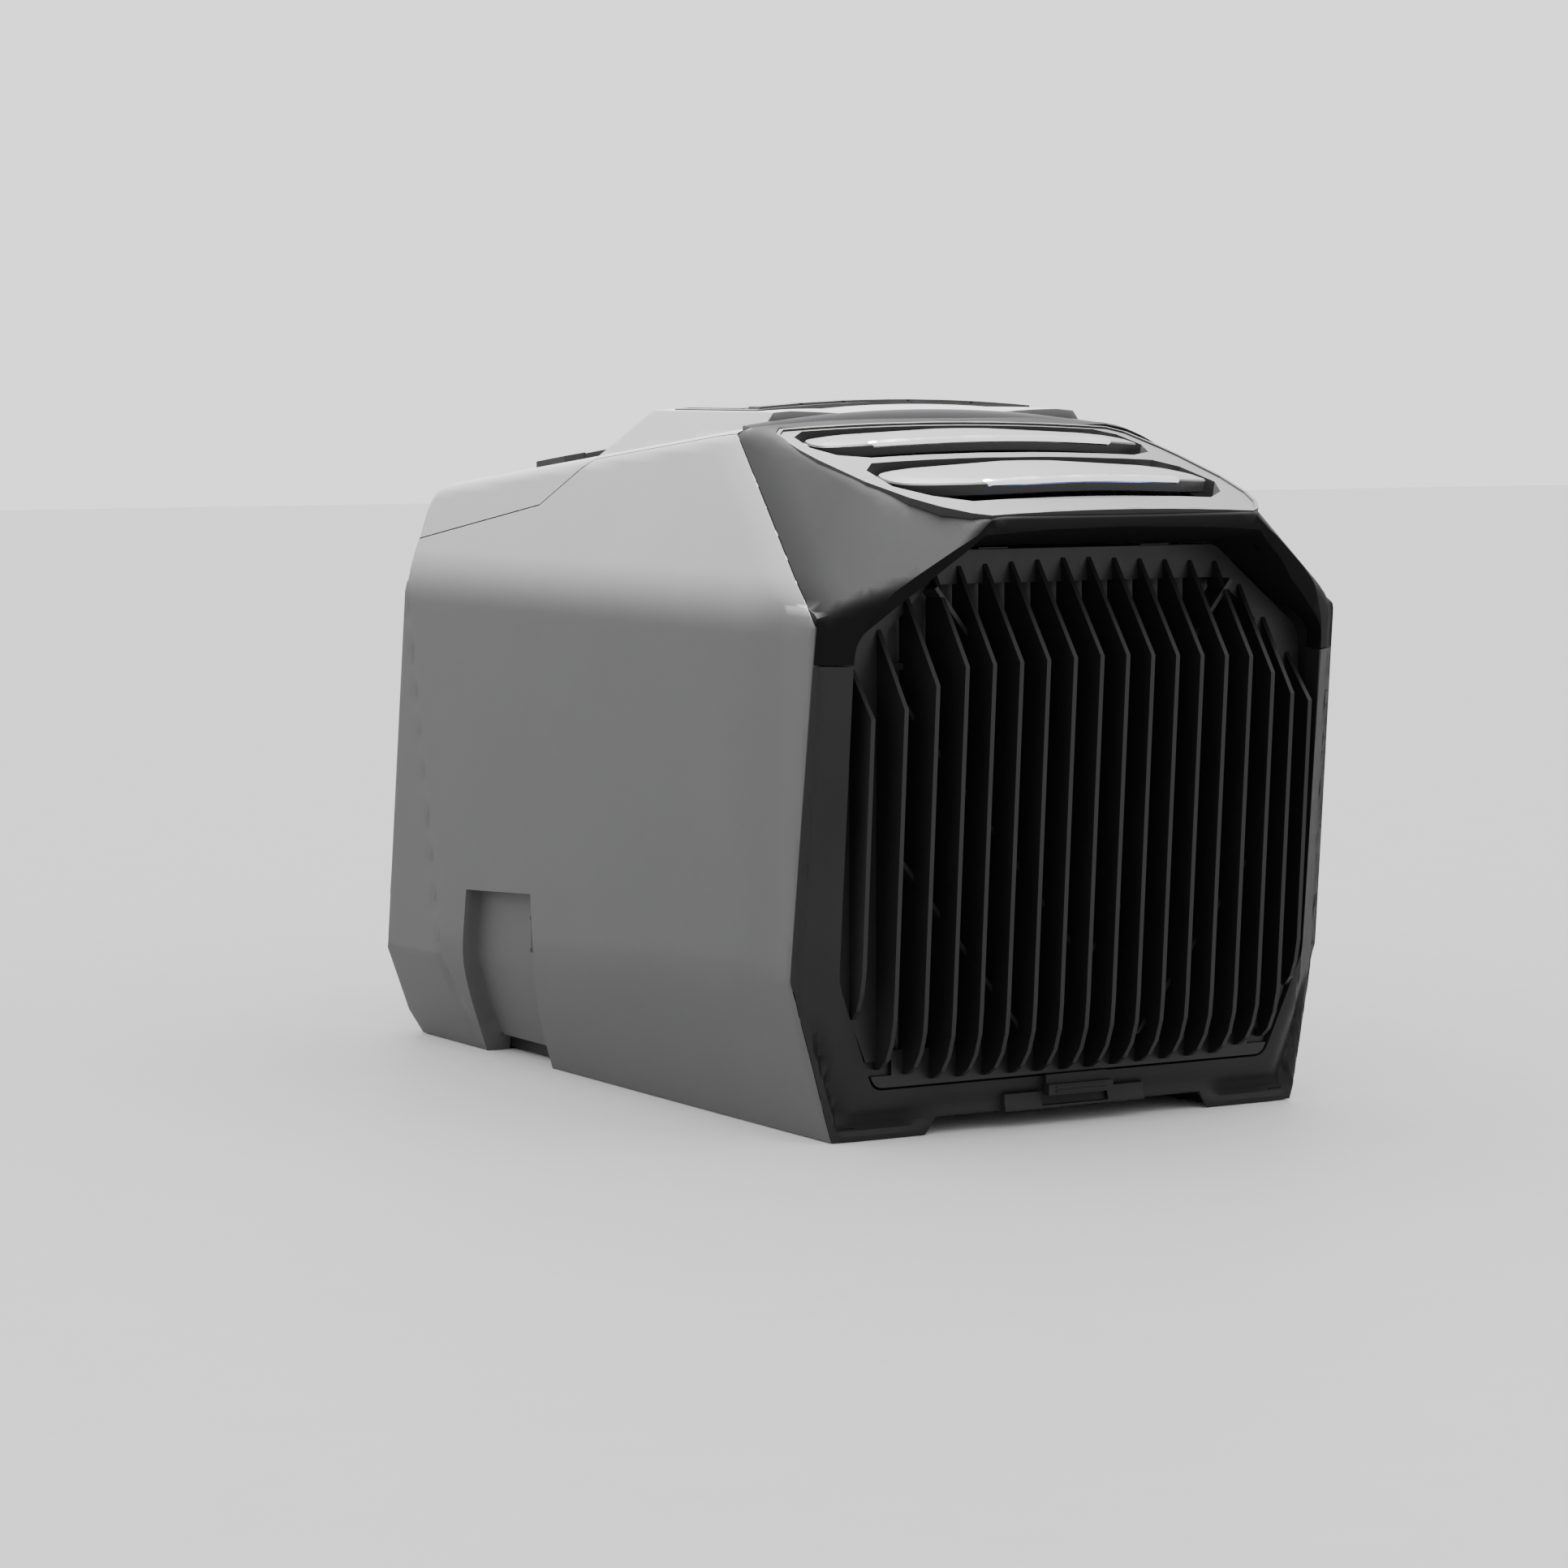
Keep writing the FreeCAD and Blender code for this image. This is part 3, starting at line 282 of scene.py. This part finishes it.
def round_creases(p):
    """Move skin points (mm) inwards where two facets meet, so that every crease gets its radius."""
    hard = casing_distance(p, False)
    step = 0.05
    moved = p.copy()
    for _ in range(ROUNDING_STEPS):
        shift = casing_distance(moved, True) - hard
        slope = np.stack([
            (casing_distance(moved + step * axis, True) - casing_distance(moved - step * axis, True))
            / (2 * step) for axis in np.eye(3)], axis=1)
        size = np.maximum(np.linalg.norm(slope, axis=1), 0.3)
        near = np.clip((SKIN_DEPTH + hard) / 4.0, 0, 1)
        moved = moved - (shift * near / size ** 2)[:, None] * slope
    return moved


def grid_cut(bm, low, high, spacing):
    for axis in range(3):
        normal = Vector((0, 0, 0))
        normal[axis] = 1
        count = int((high[axis] - low[axis]) / spacing)
        for i in range(1, count + 1):
            at = Vector((0, 0, 0))
            at[axis] = low[axis] + i * spacing + 0.013 * MM
            geom = bm.verts[:] + bm.edges[:] + bm.faces[:]
            bmesh.ops.bisect_plane(bm, geom=geom, dist=0.004 * MM, plane_co=at, plane_no=normal)


def crease_angle(edge):
    return edge.calc_face_angle(0.0) if len(edge.link_faces) == 2 else math.pi


def outer_crease(edge):
    """True for an edge that lies on the casing's own facets on both sides."""
    mids = [f.calc_center_median() for f in edge.link_faces]
    ends = [v.co for v in edge.verts]
    points = np.array([[c / MM for c in m] for m in mids + ends])
    return bool(np.all(np.abs(casing_distance(points, False)) < 0.25))


def skin_slope(p, step=0.05):
    """Unit outward direction of the rounded casing at each point (mm)."""
    slope = np.stack([
        casing_distance(p + step * axis, True) - casing_distance(p - step * axis, True)
        for axis in np.eye(3)], axis=1)
    return slope / np.maximum(np.linalg.norm(slope, axis=1), 1e-9)[:, None]


def smooth_skin_normals(mesh):
    """Shade the outer skin with the exact direction of the rounded form."""
    count = len(mesh.loops)
    corner = np.zeros(count * 3, np.float32)
    mesh.corner_normals.foreach_get("vector", corner)
    corner = corner.reshape(-1, 3)
    index = np.zeros(count, np.int32)
    mesh.loops.foreach_get("vertex_index", index)
    co = np.zeros(len(mesh.vertices) * 3, np.float32)
    mesh.vertices.foreach_get("co", co)
    p = co.reshape(-1, 3).astype(float) / MM
    on_skin = np.abs(casing_distance(p, True)) < SKIN_TOLERANCE
    slope = skin_slope(p)
    agree = np.einsum("ij,ij->i", corner, slope[index]) > SKIN_AGREEMENT
    use = on_skin[index] & agree
    corner[use] = slope[index][use]
    mesh.normals_split_custom_set([tuple(n) for n in corner])


def stand_in(mesh, name, node, look=None):
    """Put a new piece in the scene in place of a CAD node, on the same body and slot."""
    obj = bpy.data.objects.new(name, mesh)
    bpy.context.scene.collection.objects.link(obj)
    wear(obj, look or SLOT_OF[node])
    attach(obj, body_of_node(node))
    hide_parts(node)
    return obj


LIP_RING = ((0, 280.3), (40, 279.5), (76, 277.4), (129.8, 233), (133.2, 83), (113.3, 21.5))


def ease(value, start, end):
    t = np.clip((value - start) / (end - start), 0, 1)
    return t * t * (3 - 2 * t)


def outside_opening(p):
    """Distance of points outwards from the intake opening's outline, in the front view."""
    best = np.full(len(p), -1e9)
    for sign in (1, -1):
        ring = LIP_RING + ((-LIP_RING[-1][0], LIP_RING[-1][1]),)
        for (ax, az), (bx, bz) in zip(ring[:-1], ring[1:]):
            size = math.hypot(bx - ax, bz - az)
            nx, nz = -(bz - az) / size, (bx - ax) / size
            best = np.maximum(best, (sign * p[:, 0] - ax) * nx + (p[:, 2] - az) * nz)
    return best


def side_margin(p):
    """Distance of points inwards from the casing's side facets."""
    worst = np.full(len(p), -1e9)
    for sign in (1, -1):
        for point, normal, _ in SOFT_FACETS[:5]:
            n = np.array((sign * normal[0], normal[1], normal[2]), float)
            n /= np.linalg.norm(n)
            worst = np.maximum(worst, (p - np.array((sign * point[0], point[1], point[2]))) @ n)
    return -worst


def front_relief(p):
    """Sink the pillars behind a bead round the opening, and hollow out the two feet."""
    beyond = outside_opening(p)
    margin = side_margin(p)
    x, z = np.abs(p[:, 0]), p[:, 2]
    front = ease(-p[:, 1], 196, 204) * ease(-skin_slope(p)[:, 1], 0.45, 0.65)
    pillar = PILLAR_SINK * ease(beyond, 3.2, 5.2) * ease(margin, 1.2, 2.6) * ease(-z, -240, -205)
    pillar *= ease(z, 9, 13)
    sole = ease(z, 3.5, 9.0)
    foot = FOOT_HOLLOW * ease(beyond, 5.0, 14.0) * ease(margin, 2.4, 7.0)
    foot *= ease(-z, -66, -40) * ease(x, 72, 92)
    moved = p.copy()
    moved[:, 1] += (pillar + foot * sole) * front
    return moved


FRONT_SEAM = (
    (-212.5, 0), (-210.5, 34), (-206.9, 75), (-215.6, 160), (-221.6, 219), (-223.4, 236),
    (-216.3, 243), (-195.2, 256), (-147.6, 285.5), (-88.2, 321.8))
COVER_SEAM = ((-88.2, 321.8), (-49, 317.3), (31, 308.2), (38, 307.5), (75, 282.9), (196.5, 261.8))


def near_seam(p):
    """Distance of points from the joint lines between the casing parts, in the side view."""
    best = np.full(len(p), 1e9)
    flat = p[:, 1:3]
    for line in (FRONT_SEAM, COVER_SEAM):
        for a, b in zip(line[:-1], line[1:]):
            a, b = np.array(a, float), np.array(b, float)
            t = np.clip(((flat - a) @ (b - a)) / ((b - a) @ (b - a)), 0, 1)
            best = np.minimum(best, np.linalg.norm(flat - a - t[:, None] * (b - a), axis=1))
    return best


def paint_joint_shade(bm):
    """Painted shade: faces on the walls down inside a joint line get the near-black slot, a colour
    standing in for the shadow in the gap.
    """
    p = np.array([f.calc_center_median() for f in bm.faces], float) / MM
    deep = (near_seam(p) < JOINT_REACH) & (casing_distance(p, True) < -JOINT_DEPTH)
    for face, inside in zip(bm.faces, deep):
        face.material_index = int(inside)


def soft_casing(node, name, spacing, radius=0.7, segments=3, sharp=32.0):
    """A copy of a casing part with rounded creases between facets and small radii on its rims."""
    bm = bmesh.new()
    bm.from_mesh(NODES[node].data)
    bmesh.ops.remove_doubles(bm, verts=bm.verts, dist=0.002 * MM)
    bmesh.ops.dissolve_limit(
        bm, angle_limit=math.radians(0.5), verts=bm.verts[:], edges=bm.edges[:], delimit=set())
    rims = [e for e in bm.edges if crease_angle(e) > math.radians(sharp) and not outer_crease(e)]
    if radius > 0:
        bmesh.ops.bevel(
            bm, geom=rims, offset=radius * MM, segments=segments, profile=0.5, affect="EDGES",
            clamp_overlap=True, offset_type="OFFSET")
    low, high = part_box(node)
    grid_cut(bm, low, high, spacing * MM)
    p = np.array([v.co for v in bm.verts], float) / MM
    moved = round_creases(p)
    if node == "front_frame":
        moved = front_relief(moved)
    moved *= MM
    for v, co in zip(bm.verts, moved):
        v.co = co
    bmesh.ops.triangulate(bm, faces=[f for f in bm.faces if len(f.verts) > 4])
    for f in bm.faces:
        f.smooth = True
    for e in bm.edges:
        e.smooth = crease_angle(e) < math.radians(sharp)
    # painted shade on the joint walls of the shells
    if node != "front_frame":
        paint_joint_shade(bm)
    mesh = bpy.data.meshes.new(name)
    bm.to_mesh(mesh)
    bm.free()
    smooth_skin_normals(mesh)
    obj = stand_in(mesh, name, node)
    # second slot: painted joint shade
    obj.data.materials.append(LOOKS["painted_joint_shade"])
    return obj


# ---- louvres, trims and the gloss band -------------------------------------------------------
DECK_Y, DECK_Z = -259.0, 285.8
DECK_ANGLE = math.atan(0.254)
LOUVRES = {
    "upper": {
        "outline": ((0, 110.5), (40, 111.6), (68.4, 115.5), (85, 122), (91.4, 127.5), (88, 146),
                    (80, 151), (0, 152)),
        "tilt": 8.9, "crown": 850.0, "trim": 68.4, "rear": 152.0},
    "lower": {
        "outline": ((0, 31.2), (30, 32.2), (54.3, 36.4), (75, 48.8), (87, 61.2), (84.5, 84),
                    (76, 92), (0, 94)),
        "tilt": 7.9, "crown": 700.0, "trim": 54.3, "rear": 94.0},
}


def deck_point(x, s, n, data=None):
    """Millimetres across, up the deck and out of it, as a point in the row frame."""
    if data:
        t = math.radians(data["tilt"])
        ds, dn = s - data["rear"], n + 1.0
        s, n = (data["rear"] + ds * math.cos(t) + dn * math.sin(t),
                -1.0 - ds * math.sin(t) + dn * math.cos(t))
    y = DECK_Y + s * math.cos(DECK_ANGLE) - n * math.sin(DECK_ANGLE)
    z = DECK_Z + s * math.sin(DECK_ANGLE) + n * math.cos(DECK_ANGLE)
    return Vector((x * MM, y * MM, z * MM))


def closed(half):
    return [tuple(p) for p in half] + [(-x, s) for x, s in reversed(half) if x > 0]


def cut_corners(points, rounds=2):
    """Closed polygon with its corners cut repeatedly, which rounds it without growing it."""
    for _ in range(rounds):
        out = []
        for i, (ax, ay) in enumerate(points):
            bx, by = points[(i + 1) % len(points)]
            f = min(0.25, 7.0 / max(math.hypot(bx - ax, by - ay), 1e-6))
            out += [(ax + (bx - ax) * f, ay + (by - ay) * f), (bx + (ax - bx) * f, by + (ay - by) * f)]
        points = out
    return points


def offset_ring(points, amount):
    """Closed polygon moved inwards along its corner bisectors."""
    count = len(points)
    area = sum(points[i - 1][0] * points[i][1] - points[i][0] * points[i - 1][1] for i in range(count))
    sign = 1 if area > 0 else -1
    ring = []
    for i in range(count):
        (ax, ay), (bx, by), (cx, cy) = points[i - 1], points[i], points[(i + 1) % count]
        n1 = Vector((-(by - ay), bx - ax)).normalized() * sign
        n2 = Vector((-(cy - by), cx - bx)).normalized() * sign
        half = n1 + n2
        half /= max(half.length_squared / 2, 0.3)
        ring.append((bx + half.x * amount, by + half.y * amount))
    return ring


def louvre(key):
    """Blade with a crowned top, soft facets along its edges and a deep dark front lip."""
    data = LOUVRES[key]
    outline = cut_corners(closed(data["outline"]))
    profile = ((3.4, -3.0), (3.1, -5.2), (0.9, -5.7), (0.1, -5.0), (0.0, -2.0), (0.7, -1.25),
               (6.0, -0.25), (8.5, 0.0))
    length = data["rear"] - data["outline"][0][1]
    bm = bmesh.new()
    rings = []
    for inward, n in profile:
        ring = []
        for x, s in offset_ring(outline, inward):
            drop = x * x / (2 * data["crown"])
            if n < -4:
                drop += 1.9 * min(1.0, max(0.0, (data["rear"] - s) / length * 1.6))
            ring.append(bm.verts.new(deck_point(x, s, n - drop, data)))
        rings.append(ring)
    count = len(outline)
    dark = []
    for k in range(len(rings) - 1):
        for i in range(count):
            j = (i + 1) % count
            face = bm.faces.new((rings[k][i], rings[k][j], rings[k + 1][j], rings[k + 1][i]))
            if k < 5:
                dark.append(face)
    caps = [bm.faces.new(rings[-1]), bm.faces.new(list(reversed(rings[0])))]
    dark.append(caps[1])
    for face in bm.faces:
        face.material_index = 0
    for face in dark:
        face.material_index = 1
    for i in range(-22, 23):
        cut = [f for f in bm.faces if len(f.verts) > 4]
        geom = list({v for f in cut for v in f.verts}) + list({e for f in cut for e in f.edges}) + cut
        bmesh.ops.bisect_plane(
            bm, geom=geom, dist=1e-6, plane_co=(i * 4 * MM, 0, 0), plane_no=(1, 0, 0))
    bmesh.ops.recalc_face_normals(bm, faces=bm.faces[:])
    finish_smooth(bm, 24)
    mesh = bpy.data.meshes.new(key + "_louvre_blade")
    bm.to_mesh(mesh)
    bm.free()
    obj = stand_in(mesh, key + "_louvre_blade", key + "_louvre")
    obj.data.materials.append(LOOKS["louvre_lip"])
    return obj


def finish_smooth(bm, sharp):
    for f in bm.faces:
        f.smooth = True
    for e in bm.edges:
        e.smooth = crease_angle(e) < math.radians(sharp)


def sweep(stations, name):
    """Closed tube through a row of equal cross-sections given as lists of points."""
    bm = bmesh.new()
    rows = [[bm.verts.new(p) for p in station] for station in stations]
    size = len(rows[0])
    for a, b in zip(rows[:-1], rows[1:]):
        for i in range(size):
            j = (i + 1) % size
            bm.faces.new((a[i], a[j], b[j], b[i]))
    bm.faces.new(rows[0])
    bm.faces.new(list(reversed(rows[-1])))
    bmesh.ops.recalc_face_normals(bm, faces=bm.faces[:])
    finish_smooth(bm, 42)
    mesh = bpy.data.meshes.new(name)
    bm.to_mesh(mesh)
    bm.free()
    return mesh


def front_line(data, x):
    """Distance up the deck of a louvre's front edge at x."""
    outline = cut_corners(closed(data["outline"]))
    found = []
    for (ax, as_), (bx, bs) in zip(outline, outline[1:] + outline[:1]):
        if min(ax, bx) <= x <= max(ax, bx) and ax != bx:
            found.append(as_ + (bs - as_) * (x - ax) / (bx - ax))
    return min(found)


def bright_trim(key):
    """Bright bar along the top front edge of a louvre, with rounded ends."""
    data = LOUVRES[key]
    section = ((0.2, -3.5), (-0.4, -2.6), (-0.1, -1.3), (1.2, -0.35), (3.6, 0.15), (4.2, -0.1),
               (4.2, -1.6))
    stations = []
    half = data["trim"]
    for i in range(65):
        x = -half + 2 * half * i / 64
        near = min(1.0, (half - abs(x)) / 1.2)
        squeeze = 0.55 + 0.45 * math.sqrt(max(0.0, 1 - (1 - near) ** 2))
        drop = x * x / (2 * data["crown"])
        s0 = front_line(data, x)
        mid_d, mid_n = 1.9, -1.4
        stations.append([
            deck_point(x, s0 + mid_d + (d - mid_d) * squeeze,
                       mid_n + (n - mid_n) * squeeze - drop, data)
            for d, n in section])
    return stand_in(sweep(stations, key + "_trim_bar"), key + "_trim_bar", key + "_louvre_trim")


def gloss_band():
    """Arched gloss bar between the outlet deck and the roof, bulging forwards."""
    section = ((-88.3, 331.4), (-88.9, 331.2), (-90.4, 329.6), (-91.6, 326.6), (-91.2, 323.6),
               (-88.3, 322.8))
    stations = []
    for i in range(97):
        x = -103.4 + 206.8 * i / 96
        drop = x * x / (2 * 725.0)
        thin = min(1.0, (103.4 - abs(x)) / 6.0)
        bulge = math.sqrt(max(0.02, 1 - (1 - thin) ** 2))
        stations.append([
            Vector((x * MM, (-88.3 + (y + 88.3) * bulge) * MM, (z - drop) * MM)) for y, z in section])
    return stand_in(sweep(stations, "gloss_band"), "gloss_band", "control_band")


SOFT_PARTS = {
    "left_side_panel": "left_shell", "right_side_panel": "right_shell",
    "rear_top_cover": "roof_shell", "front_hood": "hood_shell", "front_frame": "frame_shell",
}
for node, name in SOFT_PARTS.items():
    soft_casing(node, name, spacing=FRAME_SPACING if node == "front_frame" else FACE_SPACING)
for key in LOUVRES:
    louvre(key)
    bright_trim(key)
gloss_band()
REPLACED = set(SOFT_PARTS) | {
    "upper_louvre", "lower_louvre", "upper_louvre_trim", "lower_louvre_trim", "control_band"}

NO_BEVEL = {"filter_mesh", "evaporator_coil", "condenser_coil", "refrigerant_pipes"}
for node in sorted(NODES):
    if node not in REPLACED:
        dress(node, 0.0 if node in NO_BEVEL else 0.35)


# ---- floor, light and camera -----------------------------------------------------------------
def area_light(name, at, target, size, energy):
    data = bpy.data.lights.new(name, "AREA")
    data.shape = "RECTANGLE"
    data.size, data.size_y = size
    data.energy = energy
    obj = bpy.data.objects.new(name, data)
    obj.location = at
    obj.rotation_mode = "QUATERNION"
    obj.rotation_quaternion = (Vector(target) - Vector(at)).to_track_quat("-Z", "Y")
    bpy.context.scene.collection.objects.link(obj)
    return obj


def studio():
    mesh = bpy.data.meshes.new("floor")
    half = 9.0
    mesh.from_pydata([(-half, -half, 0), (half, -half, 0), (half, half, 0), (-half, half, 0)], [],
                     [(0, 1, 2, 3)])
    floor = bpy.data.objects.new("floor", mesh)
    bpy.context.scene.collection.objects.link(floor)
    floor.data.materials.append(finish_material("pale_floor", (0.80, 0.80, 0.80), 0.6, 300, 0.02, 0.01))
    floor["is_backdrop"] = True
    world = bpy.data.worlds.new("studio")
    world.use_nodes = True
    world.node_tree.nodes["Background"].inputs["Color"].default_value = (1, 1, 1, 1)
    world.node_tree.nodes["Background"].inputs["Strength"].default_value = 1.7
    bpy.context.scene.world = world
    lit = bpy.data.collections.new("lit_pieces")
    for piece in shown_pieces():
        lit.objects.link(piece)
    top = area_light("top_soft", (0.10, 0.4, 2.3), (0, 0, 0.2), (0.6, 1.5), 1050)
    top.light_linking.receiver_collection = lit
    back = area_light("back_left_soft", (-1.9, 2.9, 1.15), (0, 0, 0.25), (1.8, 0.8), 20)
    back.light_linking.receiver_collection = lit


def camera():
    data = bpy.data.cameras.new("camera")
    data.lens = CAMERA_LENS
    data.sensor_width = 36.0
    data.clip_start, data.clip_end = 0.05, 60
    obj = bpy.data.objects.new("camera", data)
    obj.location = CAMERA_AT
    a, e = CAMERA_AZIMUTH, CAMERA_ELEVATION
    back = Vector((math.sin(a) * math.cos(e), -math.cos(a) * math.cos(e), math.sin(e)))
    obj.rotation_mode = "QUATERNION"
    obj.rotation_quaternion = (-back).to_track_quat("-Z", "Y")
    bpy.context.scene.collection.objects.link(obj)
    bpy.context.scene.camera = obj


studio()
camera()
